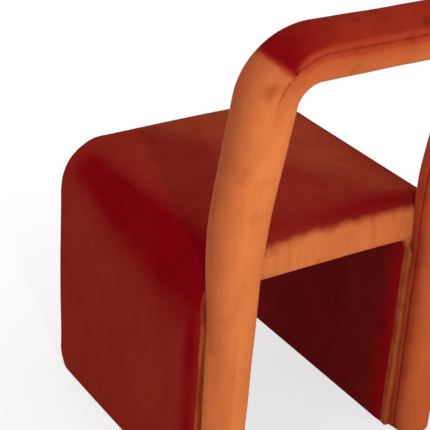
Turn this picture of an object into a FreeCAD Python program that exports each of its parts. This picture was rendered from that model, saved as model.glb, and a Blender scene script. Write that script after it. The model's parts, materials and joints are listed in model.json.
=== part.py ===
import FreeCAD, Part
import math
import os
import re
import Sketcher

# Lounge chair: an upholstered inverted-U seat block with a padded hoop for a back.
# Millimetres, +Z up, the sitter faces -Y. The origin is on the floor, under the
# middle of the chair's overall box.

doc = FreeCAD.newDocument("lounge_chair")
sheet = doc.addObject("Spreadsheet::Sheet", "Sizes")

SIZES = [
    ("block_width", 492.0, "seat block, across"),
    ("block_depth", 442.0, "seat block, front to rear"),
    ("seat_height", 430.0, "floor to the seat at its crown"),
    ("seat_crown", 4.0, "rise of the seat from its bends to its middle"),
    ("slab", 72.0, "seat slab, top to underside"),
    ("side", 94.0, "side panel, outside to inside"),
    ("bend_radius", 80.0, "soft turn from the seat into a side panel"),
    ("edge_radius", 22.0, "outer edges of the front and rear faces"),
    ("arch_edge", 6.0, "edges of the arch on those faces"),
    ("floor_gap", 4.0, "height of the glides"),
    ("skirt_gap", 1.0, "floor to the velvet's lower edge"),
    ("skin", 2.0, "velvet with its backing"),
    ("bottom_cloth", 1.5, "cloth under a side panel"),
    ("side_pad", 18.0, "foam on the outside of a panel"),
    ("front_pad", 18.0, "foam on the front edges"),
    ("rear_pad", 8.0, "foam on the rear edges, where the hoop bolts on"),
    ("arch_pad", 5.0, "wadding on the inside of a panel"),
    ("seat_pad", 38.0, "seat foam over the deck"),
    ("ply", 9.0, "plywood skins of a side panel"),
    ("deck", 12.0, "plywood seat deck"),
    ("post_depth", 40.0, "posts of a side panel, front to rear"),
    ("rail_height", 40.0, "top and base rails of a side panel"),
    ("seat_rail", 15.0, "seat rails under the deck, thickness"),
    ("seat_rail_width", 60.0, "seat rails, front to rear"),
    ("leg_spacing", 395.4, "hoop legs, centre to centre"),
    ("leg_setback", 18.0, "leg centre behind the block's rear face"),
    ("hoop_radius", 42.5, "padded tube of the hoop"),
    ("foot_radius", 36.0, "padded leg where it meets the floor"),
    ("lean_start", 355.0, "height where the legs begin to lean"),
    ("lean_angle", 11.0, "lean of the back from upright, degrees"),
    ("lean_radius", 1000.0, "gentle arc into the lean"),
    ("bar_height", 754.0, "floor to the top bar's centre"),
    ("hoop_bend", 66.0, "bend between a leg and the top bar"),
    ("rear_seam", 14.0, "long seam, outward of straight back, degrees"),
    ("inner_seam", 80.0, "closing seam, inward of straight back, degrees"),
    ("tube_radius", 14.0, "steel tube inside the hoop"),
    ("tube_wall", 2.0, "steel tube, wall"),
    ("plug_flange", 20.0, "radius of a foot plug's flange"),
    ("plug_depth", 30.0, "foot plug inside the tube"),
    ("bolt_radius", 4.0, "bolt that holds the hoop"),
    ("bolt_head", 6.5, "radius of the bolt's head"),
    ("bolt_head_height", 5.0, "height of the bolt's head"),
    ("bolt_low", 110.0, "height of the lowest hoop bolt"),
    ("bolt_pitch", 105.0, "hoop bolts, one above the other"),
    ("spacer_radius", 8.0, "sleeve that keeps the padding from being crushed"),
    ("nut_radius", 5.5, "rivet nut in the tube"),
    ("nut_length", 12.0, "rivet nut, along its bolt"),
    ("screw_radius", 2.0, "deck screw, shank"),
    ("screw_head", 4.0, "deck screw, head"),
    ("screw_long", 40.0, "screw from the deck into a side panel"),
    ("screw_short", 24.0, "screw from the deck into a seat rail"),
    ("glide_radius", 12.5, "nail-on glide"),
    ("glide_nail", 1.5, "nail of a glide, radius"),
    ("glide_nail_length", 20.0, "nail of a glide above its base"),
]
ALIASES = {alias for alias, size, meaning in SIZES}
for row, (alias, size, meaning) in enumerate(SIZES, start=1):
    sheet.set(f"A{row}", meaning)
    sheet.set(f"B{row}", str(size))
    sheet.setAlias(f"B{row}", alias)
doc.recompute()

BOLT_COUNT = 3
SCREW_COUNT = 3
REACH = 400.0
SIDES = (("left", 1), ("right", -1))

# Levels and planes that several pieces share, as formulas of the sheet. The block's
# centre is forward of the origin by half of what the hoop adds behind it.
ARC_BACK = "lean_radius * (1 - cos(lean_angle))"
LEAN_BACK = "(bar_height - lean_start - lean_radius * sin(lean_angle)) * tan(lean_angle)"
BOX_SHIFT = f"(leg_setback + {ARC_BACK} + {LEAN_BACK} + hoop_radius) / 2"
REAR = f"(block_depth / 2 - {BOX_SHIFT})"
FRONT = f"(-block_depth / 2 - {BOX_SHIFT})"
LEG_X = "leg_spacing / 2"
LEG_Y = f"({REAR} + leg_setback)"
DECK_TOP = "(seat_height - skin - seat_pad)"
PANEL_TOP = f"({DECK_TOP} - deck)"
PANEL_BOTTOM = "(floor_gap + bottom_cloth)"
FRAME_FRONT = f"({FRONT} + skin + front_pad)"
FRAME_REAR = f"({REAR} - skin - rear_pad)"
FRAME_DEPTH = f"({FRAME_REAR} - {FRAME_FRONT})"
OUTER_PLY = "(block_width / 2 - skin - side_pad - ply)"
INNER_PLY = "(block_width / 2 - side + skin + arch_pad)"
BATTEN = f"({INNER_PLY} + ply)"
BATTEN_WIDTH = f"({OUTER_PLY} - {BATTEN})"
RAIL_START = f"({FRAME_FRONT} + post_depth)"
RAIL_LENGTH = f"({FRAME_DEPTH} - 2 * post_depth)"
ARCH_HALF = "(block_width / 2 - side)"
ARCH_WALL = f"({ARCH_HALF} + skin)"
ARCH_TOP = "(seat_height - slab)"
BEND_FOOT = "(seat_height - seat_crown - bend_radius)"


def bound(text):
    """The formula as an expression on the sheet's cells."""
    def cell(word):
        return "Sizes." + word.group() if word.group() in ALIASES else word.group()
    return re.sub(r"[a-z_]+", cell, text)


probe = doc.addObject("App::FeaturePython", "Probe")
probe.addProperty("App::PropertyFloat", "Number")


def value(text):
    """The formula's number, for the few shapes that code works out."""
    probe.setExpression("Number", bound(text))
    doc.recompute([probe])
    return probe.Number


def bind(thing, **formulas):
    """Binds properties to the sheet. at_x, at_y and at_z are the placement's base."""
    for name, text in formulas.items():
        path = "Placement.Base." + name[-1] if name.startswith("at_") else name
        thing.setExpression(path, bound(text))
    return thing


def box(label, at, size):
    thing = doc.addObject("Part::Box", label)
    bind(thing, at_x=at[0], at_y=at[1], at_z=at[2], Length=size[0], Width=size[1], Height=size[2])
    return thing


def cylinder(label, at, radius, height, along="z"):
    thing = doc.addObject("Part::Cylinder", label)
    if along == "y":
        thing.Placement.Rotation = FreeCAD.Rotation(FreeCAD.Vector(1, 0, 0), -90)
    return bind(thing, at_x=at[0], at_y=at[1], at_z=at[2], Radius=radius, Height=height)


def cut(label, base, *tools):
    """The base less each tool in turn."""
    for count, tool in enumerate(tools):
        thing = doc.addObject("Part::Cut", label if count == len(tools) - 1 else label + "_step")
        thing.Base = base
        thing.Tool = tool
        base = thing
    return base


def common(label, base, tool):
    thing = doc.addObject("Part::Common", label)
    thing.Base = base
    thing.Tool = tool
    return thing


def fuse(label, *shapes):
    thing = doc.addObject("Part::MultiFuse", label)
    thing.Shapes = list(shapes)
    return thing


def group(label, *shapes):
    thing = doc.addObject("Part::Compound", label)
    thing.Links = list(shapes)
    return thing


def half(label, sign, thing):
    """The part of a shape on one side of the chair's middle plane."""
    start = "0" if sign > 0 else str(-REACH)
    zone = box(label + "_zone", (start, str(-REACH), "0"), (str(REACH), str(2 * REACH), str(3 * REACH)))
    return common(label, thing, zone)


parts = {}


def keep(node, thing):
    thing.Label = node
    parts[node] = thing
    return thing


# Seat block: the inverted-U form, drawn front to rear from one profile. It is made
# twice, for the outside of the velvet and for what the velvet wraps.

def plane(body, role):
    return next(item for item in body.Origin.OriginFeatures if item.Role == role)


def block_profile(body, inset):
    """Inverted-U profile, with the seat's crown as a shallow arc."""
    sketch = body.newObject("Sketcher::SketchObject", body.Name + "_profile")
    sketch.AttachmentSupport = (plane(body, "XZ_Plane"), "")
    sketch.MapMode = "FlatFace"
    out_x = value(f"block_width / 2 - {inset}")
    in_x = value(f"{ARCH_HALF} + {inset}")
    low = value("skirt_gap")
    shoulder = value(f"seat_height - seat_crown - {inset}")
    crown = value(f"seat_height - {inset}")
    arch = value(f"{ARCH_TOP} + {inset}")
    corners = [(-in_x, arch), (-in_x, low), (-out_x, low), (-out_x, shoulder)]
    points = [FreeCAD.Vector(x, z, 0) for x, z in corners]
    mirrored = [FreeCAD.Vector(-point.x, point.y, 0) for point in reversed(points)]
    for first, second in zip(points, points[1:]):
        sketch.addGeometry(Part.LineSegment(first, second))
    sketch.addGeometry(Part.Arc(mirrored[0], FreeCAD.Vector(0, crown, 0), points[-1]))
    for first, second in zip(mirrored, mirrored[1:]):
        sketch.addGeometry(Part.LineSegment(first, second))
    sketch.addGeometry(Part.LineSegment(mirrored[-1], points[0]))
    arch_left, foot_left, side_left, seat, side_right, foot_right, arch_right, arch_line = range(8)
    line_start, line_end, seat_right, seat_left = 1, 2, 1, 2
    vertical = (arch_left, side_left, side_right, arch_right)
    level = (foot_left, arch_line)
    rules = [Sketcher.Constraint("Vertical", line) for line in vertical]
    rules += [Sketcher.Constraint("Horizontal", line) for line in level]
    around = [(arch_left, foot_left), (foot_left, side_left), (side_right, foot_right),
              (foot_right, arch_right), (arch_right, arch_line), (arch_line, arch_left)]
    for first, second in around:
        rules.append(Sketcher.Constraint("Coincident", first, line_end, second, line_start))
    rules.append(Sketcher.Constraint("Coincident", side_left, line_end, seat, seat_left))
    rules.append(Sketcher.Constraint("Coincident", side_right, line_start, seat, seat_right))
    middle_axis = -2
    rules.append(Sketcher.Constraint("Symmetric", foot_left, line_end, foot_right, line_start, middle_axis))
    rules.append(Sketcher.Constraint("Symmetric", foot_left, line_start, foot_right, line_end, middle_axis))
    rules.append(Sketcher.Constraint("Horizontal", seat, seat_left, seat, seat_right))
    sketch.addConstraint(rules)
    origin = -1
    sizes = {
        "across": (("DistanceX", foot_left, line_end, foot_right, line_start),
                   f"block_width - 2 * {inset}"),
        "arch_span": (("DistanceX", foot_left, line_start, foot_right, line_end),
                      f"2 * ({ARCH_HALF} + {inset})"),
        "bottom": (("DistanceY", origin, 1, foot_left, line_start), "skirt_gap"),
        "arch_height": (("DistanceY", origin, 1, arch_line, line_start), f"{ARCH_TOP} + {inset}"),
        "shoulder": (("DistanceY", origin, 1, seat, seat_left), f"seat_height - seat_crown - {inset}"),
    }
    for name, ((kind, *where), text) in sizes.items():
        number = sketch.addConstraint(Sketcher.Constraint(kind, *where, value(text)))
        sketch.renameConstraint(number, name)
        sketch.setExpression("Constraints." + name, bound(text))
    half_chord = f"(block_width / 2 - {inset})"
    radius_text = f"({half_chord} ^ 2 + seat_crown ^ 2) / (2 * seat_crown)"
    number = sketch.addConstraint(Sketcher.Constraint("Radius", seat, value(radius_text)))
    sketch.renameConstraint(number, "crown_radius")
    sketch.setExpression("Constraints.crown_radius", bound(radius_text))
    return sketch


def edge_names(shape, test):
    """Names of the edges whose middle point passes a test."""
    names = []
    for number, edge in enumerate(shape.Edges, start=1):
        first, last = edge.ParameterRange
        if test(edge.valueAt((first + last) / 2)):
            names.append(f"Edge{number}")
    return names


def rounded(body, base, label, radius, test):
    doc.recompute()
    names = edge_names(base.Shape, test)
    feature = body.newObject("PartDesign::Fillet", body.Name + label)
    feature.Base = (base, names)
    return bind(feature, Radius=radius)


def block_form(label, inset):
    """The whole seat block, drawn in by the inset from the velvet's outside."""
    body = doc.addObject("PartDesign::Body", label)
    bind(body, at_y=f"-{BOX_SHIFT}")
    profile = block_profile(body, inset)
    pad = body.newObject("PartDesign::Pad", label + "_pad")
    pad.Profile = profile
    pad.SideType = "Symmetric"
    bind(pad, Length=f"block_depth - 2 * {inset}")
    outer = value(f"block_width / 2 - {inset}")
    shoulder = value(f"seat_height - seat_crown - {inset}")
    depth = value(f"block_depth / 2 - {inset}")
    arch_half = value(f"{ARCH_HALF} + {inset}")
    arch_top = value(f"{ARCH_TOP} + {inset}")
    low = value("skirt_gap")
    near = 0.01

    def is_bend(middle):
        return abs(abs(middle.x) - outer) < near and abs(middle.z - shoulder) < near

    def on_end(middle):
        return abs(abs(middle.y) - depth) < near and middle.z > low + near

    def in_arch(middle):
        return abs(middle.x) < arch_half + near and middle.z < arch_top + near

    def is_outer_edge(middle):
        return on_end(middle) and not in_arch(middle)

    def is_arch_edge(middle):
        return on_end(middle) and in_arch(middle)

    bends = rounded(body, pad, "_bends", f"bend_radius - {inset}", is_bend)
    ends = rounded(body, bends, "_ends", f"edge_radius - {inset}", is_outer_edge)
    arch = rounded(body, ends, "_arch", f"arch_edge - {inset}", is_arch_edge)
    body.Tip = arch
    doc.recompute()
    return body


outside = block_form("block_outside", "0")
wrapped = block_form("block_wrapped", "skin")

# Hoop: its centre line goes up the left leg, into the lean, round the bend, along
# the top bar and down again. Straight runs meet in tangent arcs.

def vector(x, y, z):
    return FreeCAD.Vector(x, y, z)


LEAN = math.radians(value("lean_angle"))
LEAN_UP = vector(0, math.sin(LEAN), math.cos(LEAN))


def arc_point(angle):
    """A point of the left leg's gentle arc into the lean."""
    radius = value("lean_radius")
    back = radius * (1 - math.cos(angle))
    return vector(value(LEG_X), value(LEG_Y) + back, value("lean_start") + radius * math.sin(angle))


def bend_centre():
    """Centre of the left bend, between leg and top bar."""
    lean_end = arc_point(LEAN)
    bar = lean_end + LEAN_UP * ((value("bar_height") - lean_end.z) / LEAN_UP.z)
    return bar - (LEAN_UP + vector(1, 0, 0)) * value("hoop_bend")


def mirrored(point):
    return vector(-point.x, point.y, point.z)


def hoop_line(label, foot):
    bend = value("hoop_bend")
    centre = bend_centre()
    foot_point = vector(value(LEG_X), value(LEG_Y), foot)
    lean_begin, lean_middle, lean_end = arc_point(0), arc_point(LEAN / 2), arc_point(LEAN)
    leg_end = centre + vector(bend, 0, 0)
    bend_middle = centre + (vector(1, 0, 0) + LEAN_UP) * (bend / math.sqrt(2))
    bar_end = centre + LEAN_UP * bend
    left = [
        Part.Arc(lean_begin, lean_middle, lean_end),
        Part.LineSegment(lean_end, leg_end),
        Part.Arc(leg_end, bend_middle, bar_end),
    ]
    right = [
        Part.Arc(mirrored(bar_end), mirrored(bend_middle), mirrored(leg_end)),
        Part.LineSegment(mirrored(leg_end), mirrored(lean_end)),
        Part.Arc(mirrored(lean_end), mirrored(lean_middle), mirrored(lean_begin)),
    ]
    if foot < lean_begin.z:
        left.insert(0, Part.LineSegment(foot_point, lean_begin))
        right.append(Part.LineSegment(mirrored(lean_begin), mirrored(foot_point)))
    bar_line = [Part.LineSegment(bar_end, mirrored(bar_end))]
    line = doc.addObject("Part::Feature", label)
    line.Shape = Part.Wire([curve.toShape() for curve in left + bar_line + right])
    return line


def sweep(label, profile, line):
    thing = doc.addObject("Part::Sweep", label)
    thing.Sections = [profile]
    thing.Spine = (line, [f"Edge{number + 1}" for number in range(len(line.Shape.Edges))])
    thing.Solid = True
    return thing


def ring(label, radius, height):
    thing = doc.addObject("Part::Circle", label)
    return bind(thing, at_x=LEG_X, at_y=LEG_Y, at_z=height, Radius=radius)


upper_line = hoop_line("upper_line", value("lean_start"))
full_line = hoop_line("full_line", value("floor_gap"))
low_line = hoop_line("low_line", 0.0)


def padded_hoop(label, inset, foot, block):
    """The hoop's form, pressed against the block: swept above, tapering legs below."""
    section = ring(label + "_ring", f"hoop_radius - {inset}", "lean_start")
    upper = sweep(label + "_upper", section, upper_line)
    legs = []
    for side, sign in SIDES:
        leg = doc.addObject("Part::Cone", f"{label}_{side}_leg")
        bind(leg, at_x=f"{sign} * {LEG_X}", at_y=LEG_Y, at_z=foot, Height=f"lean_start - {foot}")
        bind(leg, Radius1=f"foot_radius - {inset}", Radius2=f"hoop_radius - {inset}")
        legs.append(leg)
    return cut(label, fuse(label + "_round", upper, *legs), block)


# What presses against the hoop from the front is the block, and for the foam the
# block with the hoop's own velvet on it.
block_and_skin = doc.addObject("Part::Feature", "block_and_skin")
moved = outside.Shape.copy()
moved.translate(vector(0, value("skin"), 0))
block_and_skin.Shape = outside.Shape.fuse(moved)

hoop_outside = padded_hoop("hoop_outside", "0", "skirt_gap", outside)
hoop_wrapped = padded_hoop("hoop_wrapped", "skin", "(skirt_gap + skin)", block_and_skin)

tube_solid = sweep("tube_solid", ring("tube_ring", "tube_radius", "floor_gap"), full_line)
tube_bore = sweep("tube_bore", ring("tube_bore_ring", "tube_radius - tube_wall", "floor_gap"), full_line)

# Fixings: bolts from inside the side panels, through the rear posts and the padding
# by spacer sleeves, into rivet nuts in the tube.
bolts, spacers, nuts = [], [], []
POST_FRONT = f"({FRAME_REAR} - post_depth)"
TUBE_FRONT = f"({LEG_Y} - tube_radius)"
NUT_START = f"({TUBE_FRONT} + 1)"
for side, sign in SIDES:
    for step in range(BOLT_COUNT):
        name = f"{side}_{step}"
        x = f"{sign} * {LEG_X}"
        z = f"bolt_low + {step} * bolt_pitch"
        head_at = (x, f"{POST_FRONT} - bolt_head_height", z)
        head = cylinder("bolt_head_" + name, head_at, "bolt_head", "bolt_head_height", "y")
        shank_length = f"{NUT_START} + nut_length - {POST_FRONT}"
        shank = cylinder("bolt_shank_" + name, (x, POST_FRONT, z), "bolt_radius", shank_length, "y")
        bolts.append(fuse("bolt_" + name, head, shank))
        sleeve_length = f"{NUT_START} - {FRAME_REAR}"
        sleeve = cylinder("sleeve_" + name, (x, FRAME_REAR, z), "spacer_radius", sleeve_length, "y")
        sleeve_bore = cylinder("sleeve_bore_" + name, (x, FRAME_REAR, z), "bolt_radius", sleeve_length, "y")
        spacers.append(cut("spacer_" + name, sleeve, sleeve_bore, tube_solid))
        nut = cylinder("nut_body_" + name, (x, NUT_START, z), "nut_radius", "nut_length", "y")
        nut_bore = cylinder("nut_bore_" + name, (x, NUT_START, z), "bolt_radius", "nut_length", "y")
        nuts.append(cut("nut_" + name, nut, nut_bore))
keep("hoop_bolts", group("hoop_bolts", *bolts))
keep("hoop_spacers", group("hoop_spacers", *spacers))
keep("hoop_rivet_nuts", group("hoop_rivet_nuts", *nuts))
fixings = group("fixings", parts["hoop_bolts"], parts["hoop_spacers"], parts["hoop_rivet_nuts"])

# Deck screws: a row into each side panel's top rail and a row into each seat rail.
def screw(name, x, y, length):
    head_depth = "(screw_head - screw_radius)"
    shank_at = (x, y, f"{DECK_TOP} - {length}")
    shank = cylinder("screw_shank_" + name, shank_at, "screw_radius", f"{length} - {head_depth}")
    head = doc.addObject("Part::Cone", "screw_head_" + name)
    bind(head, at_x=x, at_y=y, at_z=f"{DECK_TOP} - {head_depth}", Height=head_depth)
    bind(head, Radius1="screw_radius", Radius2="screw_head")
    return fuse("screw_" + name, shank, head)


BATTEN_MIDDLE = f"({BATTEN} + {BATTEN_WIDTH} / 2)"
side_screws, rail_screws = [], []
for side, sign in SIDES:
    for step in range(SCREW_COUNT):
        along = f"({RAIL_START} + {RAIL_LENGTH} * ({step} + 0.5) / {SCREW_COUNT})"
        side_screws.append(screw(f"{side}_{step}", f"{sign} * {BATTEN_MIDDLE}", along, "screw_long"))
rail_middles = (
    ("front", f"({FRAME_FRONT} + seat_rail_width / 2)"),
    ("middle", f"(({FRAME_FRONT} + {FRAME_REAR}) / 2)"),
    ("rear", f"({FRAME_REAR} - seat_rail_width / 2)"),
)
for place, middle in rail_middles:
    for step in range(SCREW_COUNT):
        across = f"({INNER_PLY} * ({step} - 1) * 0.7)"
        rail_screws.append(screw(f"{place}_{step}", across, middle, "screw_short"))
keep("deck_to_side_screws", group("deck_to_side_screws", *side_screws))
keep("deck_to_rail_screws", group("deck_to_rail_screws", *rail_screws))

# Glides under the side panels, each with its nail, and plugs in the tube's feet.
glides = []
glide_places = (
    ("front", f"{FRAME_FRONT} + post_depth / 2"),
    ("rear", f"{FRAME_REAR} - post_depth * 1.5"),
)
for side, sign in SIDES:
    for place, y in glide_places:
        name = f"{side}_{place}"
        x = f"{sign} * {BATTEN_MIDDLE}"
        base = cylinder("glide_base_" + name, (x, y, "0"), "glide_radius", "floor_gap")
        nail = cylinder("glide_nail_" + name, (x, y, "floor_gap"), "glide_nail", "glide_nail_length")
        glides.append(fuse("glide_" + name, base, nail))
keep("panel_glides", group("panel_glides", *glides))
plugs = []
for side, sign in SIDES:
    at = (f"{sign} * {LEG_X}", LEG_Y)
    flange = cylinder(f"plug_flange_{side}", (*at, "0"), "plug_flange", "floor_gap")
    stem = cylinder(f"plug_stem_{side}", (*at, "floor_gap"), "tube_radius - tube_wall", "plug_depth")
    plugs.append(fuse(f"plug_{side}", flange, stem))
keep("hoop_foot_plugs", group("hoop_foot_plugs", *plugs))

# Side panels: posts and rails between two plywood skins, with a cloth underneath.
def low_x(sign, start, width):
    """Lower x of a piece that spans start to start + width, or its mirror image."""
    return start if sign > 0 else f"-({start}) - {width}"


frame_zones = []
for side, sign in SIDES:
    post_height = f"{PANEL_TOP} - {PANEL_BOTTOM}"
    batten_x = low_x(sign, BATTEN, BATTEN_WIDTH)
    front_post = box(f"{side}_front_post_blank", (batten_x, FRAME_FRONT, PANEL_BOTTOM),
                     (BATTEN_WIDTH, "post_depth", post_height))
    keep(f"{side}_front_post", cut(f"{side}_front_post", front_post, parts["panel_glides"]))
    rear_post = box(f"{side}_rear_post_blank", (batten_x, POST_FRONT, PANEL_BOTTOM),
                    (BATTEN_WIDTH, "post_depth", post_height))
    keep(f"{side}_rear_post", cut(f"{side}_rear_post", rear_post, parts["hoop_bolts"]))
    rail_size = (BATTEN_WIDTH, RAIL_LENGTH, "rail_height")
    top_rail_at = (batten_x, RAIL_START, f"{PANEL_TOP} - rail_height")
    top_rail = box(f"{side}_top_rail_blank", top_rail_at, rail_size)
    keep(f"{side}_top_rail", cut(f"{side}_top_rail", top_rail, parts["deck_to_side_screws"]))
    base_rail = box(f"{side}_base_rail_blank", (batten_x, RAIL_START, PANEL_BOTTOM), rail_size)
    keep(f"{side}_base_rail", cut(f"{side}_base_rail", base_rail, parts["panel_glides"]))
    skin_size = ("ply", FRAME_DEPTH, post_height)
    for layer, start in (("outer", OUTER_PLY), ("inner", INNER_PLY)):
        skin_at = (low_x(sign, start, "ply"), FRAME_FRONT, PANEL_BOTTOM)
        keep(f"{side}_{layer}_ply", box(f"{side}_{layer}_ply", skin_at, skin_size))
    frame_width = f"({OUTER_PLY} + ply - {INNER_PLY})"
    frame_x = low_x(sign, INNER_PLY, frame_width)
    frame_zones.append(box(f"{side}_frame_zone", (frame_x, FRAME_FRONT, "0"),
                           (frame_width, FRAME_DEPTH, PANEL_TOP)))
    cloth_blank = box(f"{side}_cloth_blank", (frame_x, FRAME_FRONT, "floor_gap"),
                      (frame_width, FRAME_DEPTH, "bottom_cloth"))
    keep(f"{side}_bottom_cloth", cut(f"{side}_bottom_cloth", cloth_blank, parts["panel_glides"]))

# Seat: a plywood deck over the side panels, stiffened by rails between them.
deck_at = (f"-{OUTER_PLY}", FRAME_FRONT, PANEL_TOP)
deck_blank = box("deck_blank", deck_at, (f"2 * {OUTER_PLY}", FRAME_DEPTH, "deck"))
keep("seat_deck", cut("seat_deck", deck_blank, parts["deck_to_side_screws"], parts["deck_to_rail_screws"]))
rail_blanks = []
for place, middle in rail_middles:
    at = (f"-{INNER_PLY}", f"{middle} - seat_rail_width / 2", f"{PANEL_TOP} - seat_rail")
    blank = box(f"{place}_seat_rail_blank", at, (f"2 * {INNER_PLY}", "seat_rail_width", "seat_rail"))
    keep(f"{place}_seat_rail", cut(f"{place}_seat_rail", blank, parts["deck_to_rail_screws"]))
    rail_blanks.append(blank)

# Foam of the seat block. The bend blocks and the seat pad lie over the panels and
# the deck, and each panel has a wrap of foam round its frame.
def zone(label, low, high):
    return box(label, low, tuple(f"({top}) - ({bottom})" for bottom, top in zip(low, high)))


core = fuse("block_core", *frame_zones, deck_blank)
seat_zone = zone("seat_zone", (f"-{INNER_PLY}", FRONT, PANEL_TOP), (INNER_PLY, REAR, "seat_height"))
keep("seat_foam", cut("seat_foam", common("seat_foam_blank", wrapped, seat_zone), deck_blank))
under_zone = zone("under_zone", (f"-{ARCH_WALL}", FRONT, ARCH_TOP), (ARCH_WALL, REAR, PANEL_TOP))
under_blank = common("under_blank", wrapped, under_zone)
keep("under_seat_wadding", cut("under_seat_wadding", under_blank, core, *rail_blanks))
for side, sign in SIDES:
    bend_low = (INNER_PLY if sign > 0 else "-block_width / 2", FRONT, BEND_FOOT)
    bend_high = ("block_width / 2" if sign > 0 else f"-{INNER_PLY}", REAR, "seat_height")
    bend_blank = common(f"{side}_bend_blank", wrapped, zone(f"{side}_bend_zone", bend_low, bend_high))
    keep(f"{side}_bend_foam", cut(f"{side}_bend_foam", bend_blank, core, fixings))
    wrap_low = (ARCH_HALF if sign > 0 else "-block_width / 2", FRONT, "skirt_gap")
    wrap_high = ("block_width / 2" if sign > 0 else f"-{ARCH_HALF}", REAR, BEND_FOOT)
    lip_low = (ARCH_HALF if sign > 0 else f"-{INNER_PLY}", FRONT, BEND_FOOT)
    lip_high = (INNER_PLY if sign > 0 else f"-{ARCH_HALF}", REAR, PANEL_TOP)
    wrap_zone = fuse(f"{side}_wrap_zone", zone(f"{side}_wrap", wrap_low, wrap_high),
                     zone(f"{side}_inner_lip", lip_low, lip_high))
    wrap_blank = common(f"{side}_wrap_blank", wrapped, wrap_zone)
    keep(f"{side}_side_foam", cut(f"{side}_side_foam", wrap_blank, core, fixings))

# Velvet of the seat block: the lining of the arch, and the outer cover that turns
# over the front and rear faces to meet it.
block_velvet = cut("block_velvet", outside, wrapped)
lining_zone = zone("lining_zone", (f"-{ARCH_WALL}", f"{FRONT} + arch_edge", "0"),
                   (ARCH_WALL, f"{REAR} - arch_edge", f"{ARCH_TOP} + skin"))
keep("arch_lining", common("arch_lining", block_velvet, lining_zone))
keep("block_cover", cut("block_cover", block_velvet, lining_zone, fixings))

# Hoop: the steel tube, its foam sleeves and its velvet. The top bar's pieces meet
# the legs' pieces in a mitre at each bend.
keep("hoop_tube", cut("hoop_tube", tube_solid, tube_bore, fixings))
top_zone = doc.addObject("Part::Wedge", "top_zone")
BAR_HALF = f"({LEG_X} - hoop_bend)"
bind(top_zone, Xmin=f"-{BAR_HALF}", Xmax=BAR_HALF, Ymin="0", Ymax=str(REACH))
bind(top_zone, X2min=f"-{BAR_HALF} - {REACH}", X2max=f"{BAR_HALF} + {REACH}")
bind(top_zone, Zmin=str(-REACH), Zmax=str(REACH), Z2min=str(-REACH), Z2max=str(REACH))
lean_turn = FreeCAD.Rotation(vector(1, 0, 0), 90 - value("lean_angle"))
bend_at = bend_centre()
top_zone.Placement = FreeCAD.Placement(vector(0, bend_at.y, bend_at.z), lean_turn)

hoop_foam = cut("hoop_foam", hoop_wrapped, tube_solid, fixings, parts["hoop_foot_plugs"])
keep("top_bar_foam", common("top_bar_foam", hoop_foam, top_zone))
leg_foam = cut("leg_foam", hoop_foam, top_zone)

# The long strip lies between the rear seam and the closing seam on the inner side.
strip_reach = value("hoop_radius * 1.3")
rear_turn = math.radians(value("rear_seam"))
inner_turn = math.radians(value("inner_seam"))
middle_turn = (inner_turn - rear_turn) / 2
leg_centre = vector(value(LEG_X), value(LEG_Y), 0)


def outward(turn, reach):
    """A point of the left leg's section, turned from straight back towards the outside."""
    return leg_centre + vector(math.sin(turn), math.cos(turn), 0) * reach


strip_profile = doc.addObject("Part::Feature", "strip_profile")
strip_corners = [leg_centre, outward(rear_turn, strip_reach),
                 outward(-middle_turn, strip_reach * 1.3), outward(-inner_turn, strip_reach)]
strip_profile.Shape = Part.makePolygon(strip_corners + [leg_centre])
strip_zone = sweep("strip_zone", strip_profile, low_line)

hoop_velvet = cut("hoop_velvet", hoop_outside, hoop_wrapped, fixings, parts["hoop_foot_plugs"])
keep("hoop_strip_cover", common("hoop_strip_cover", hoop_velvet, strip_zone))
outer_velvet = cut("outer_velvet", hoop_velvet, strip_zone)
keep("top_bar_cover", common("top_bar_cover", outer_velvet, top_zone))
leg_velvet = cut("leg_velvet", outer_velvet, top_zone)
for side, sign in SIDES:
    keep(f"{side}_leg_foam", half(f"{side}_leg_foam", sign, leg_foam))
    keep(f"{side}_leg_cover", half(f"{side}_leg_cover", sign, leg_velvet))

doc.recompute()

# Every object has to be sound before anything is written.
for thing in doc.Objects:
    if "Invalid" in thing.State or "Error" in thing.State:
        raise RuntimeError(f"{thing.Name} failed: {thing.State}")
for node, thing in parts.items():
    if thing.Shape.isNull() or not thing.Shape.isValid() or not thing.Shape.Solids:
        raise RuntimeError(f"{node} has no sound solid")

os.makedirs("parts", exist_ok=True)
whole = FreeCAD.BoundBox()
for node, thing in parts.items():
    thing.Shape.exportStep(f"parts/{node}.step")
    whole.add(thing.Shape.optimalBoundingBox())
    print(f"{node}: {len(thing.Shape.Solids)} solid, {thing.Shape.Volume / 1000:.1f} cm3")
print(f"{len(parts)} nodes, box {whole.XLength:.1f} x {whole.YLength:.1f} x {whole.ZLength:.1f} mm")
print(f"box centre x {whole.Center.x:.2f}, y {whole.Center.y:.2f}, lowest z {whole.ZMin:.2f}")
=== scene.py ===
# %% [markdown]
# # A lounge chair in rust velvet
#
# The chair is two soft things. A seat block, shaped like an upside-down U, stands on
# its two side panels. A padded hoop stands behind it as the back. Both are foam over
# a hidden frame, with a short-pile velvet pulled tight over the foam. This lesson
# dresses the measured CAD frame: it builds the velvet pieces, gives every finish its
# own material, and lights the chair in a plain white studio.

# %% Load the frame
import json
import math

import bpy
import bmesh
import numpy as np
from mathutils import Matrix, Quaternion, Vector, noise
from mathutils.bvhtree import BVHTree


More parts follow.
